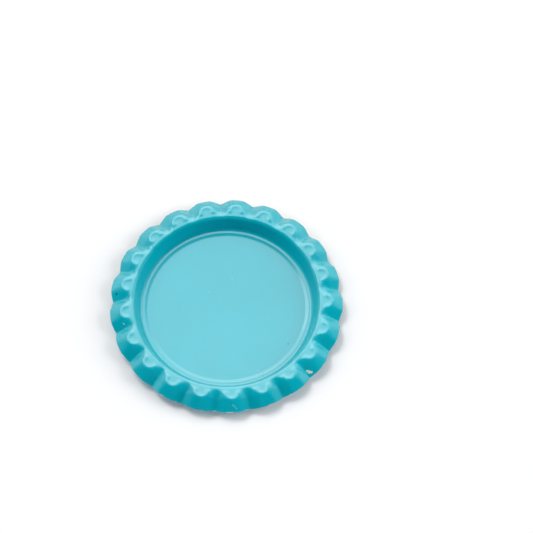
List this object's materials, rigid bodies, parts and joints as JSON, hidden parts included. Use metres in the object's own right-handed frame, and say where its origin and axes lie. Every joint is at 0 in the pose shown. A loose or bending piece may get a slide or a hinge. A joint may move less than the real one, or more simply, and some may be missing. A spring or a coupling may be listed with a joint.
{
  "type": "bottle cap",
  "caption": "Flattened crown bottle cap of painted sheet metal, open side up: a round flat floor, a sloping wall and a turned-down fluted brim.",
  "frame": {"origin": "middle of the disc's underside, on the surface that the cap lies on", "axes": "+Z along the cap's axis, out of the open side; +X through the middle of one lobe of the brim"},
  "size_m": [0.0349, 0.035, 0.0029],
  "materials": {
    "turquoise_enamel": "glossy enamel on both faces, thin at the cut edge"
  },
  "bodies": {
    "root": {"cap_shell": "turquoise_enamel"}
  },
  "joints": []
}
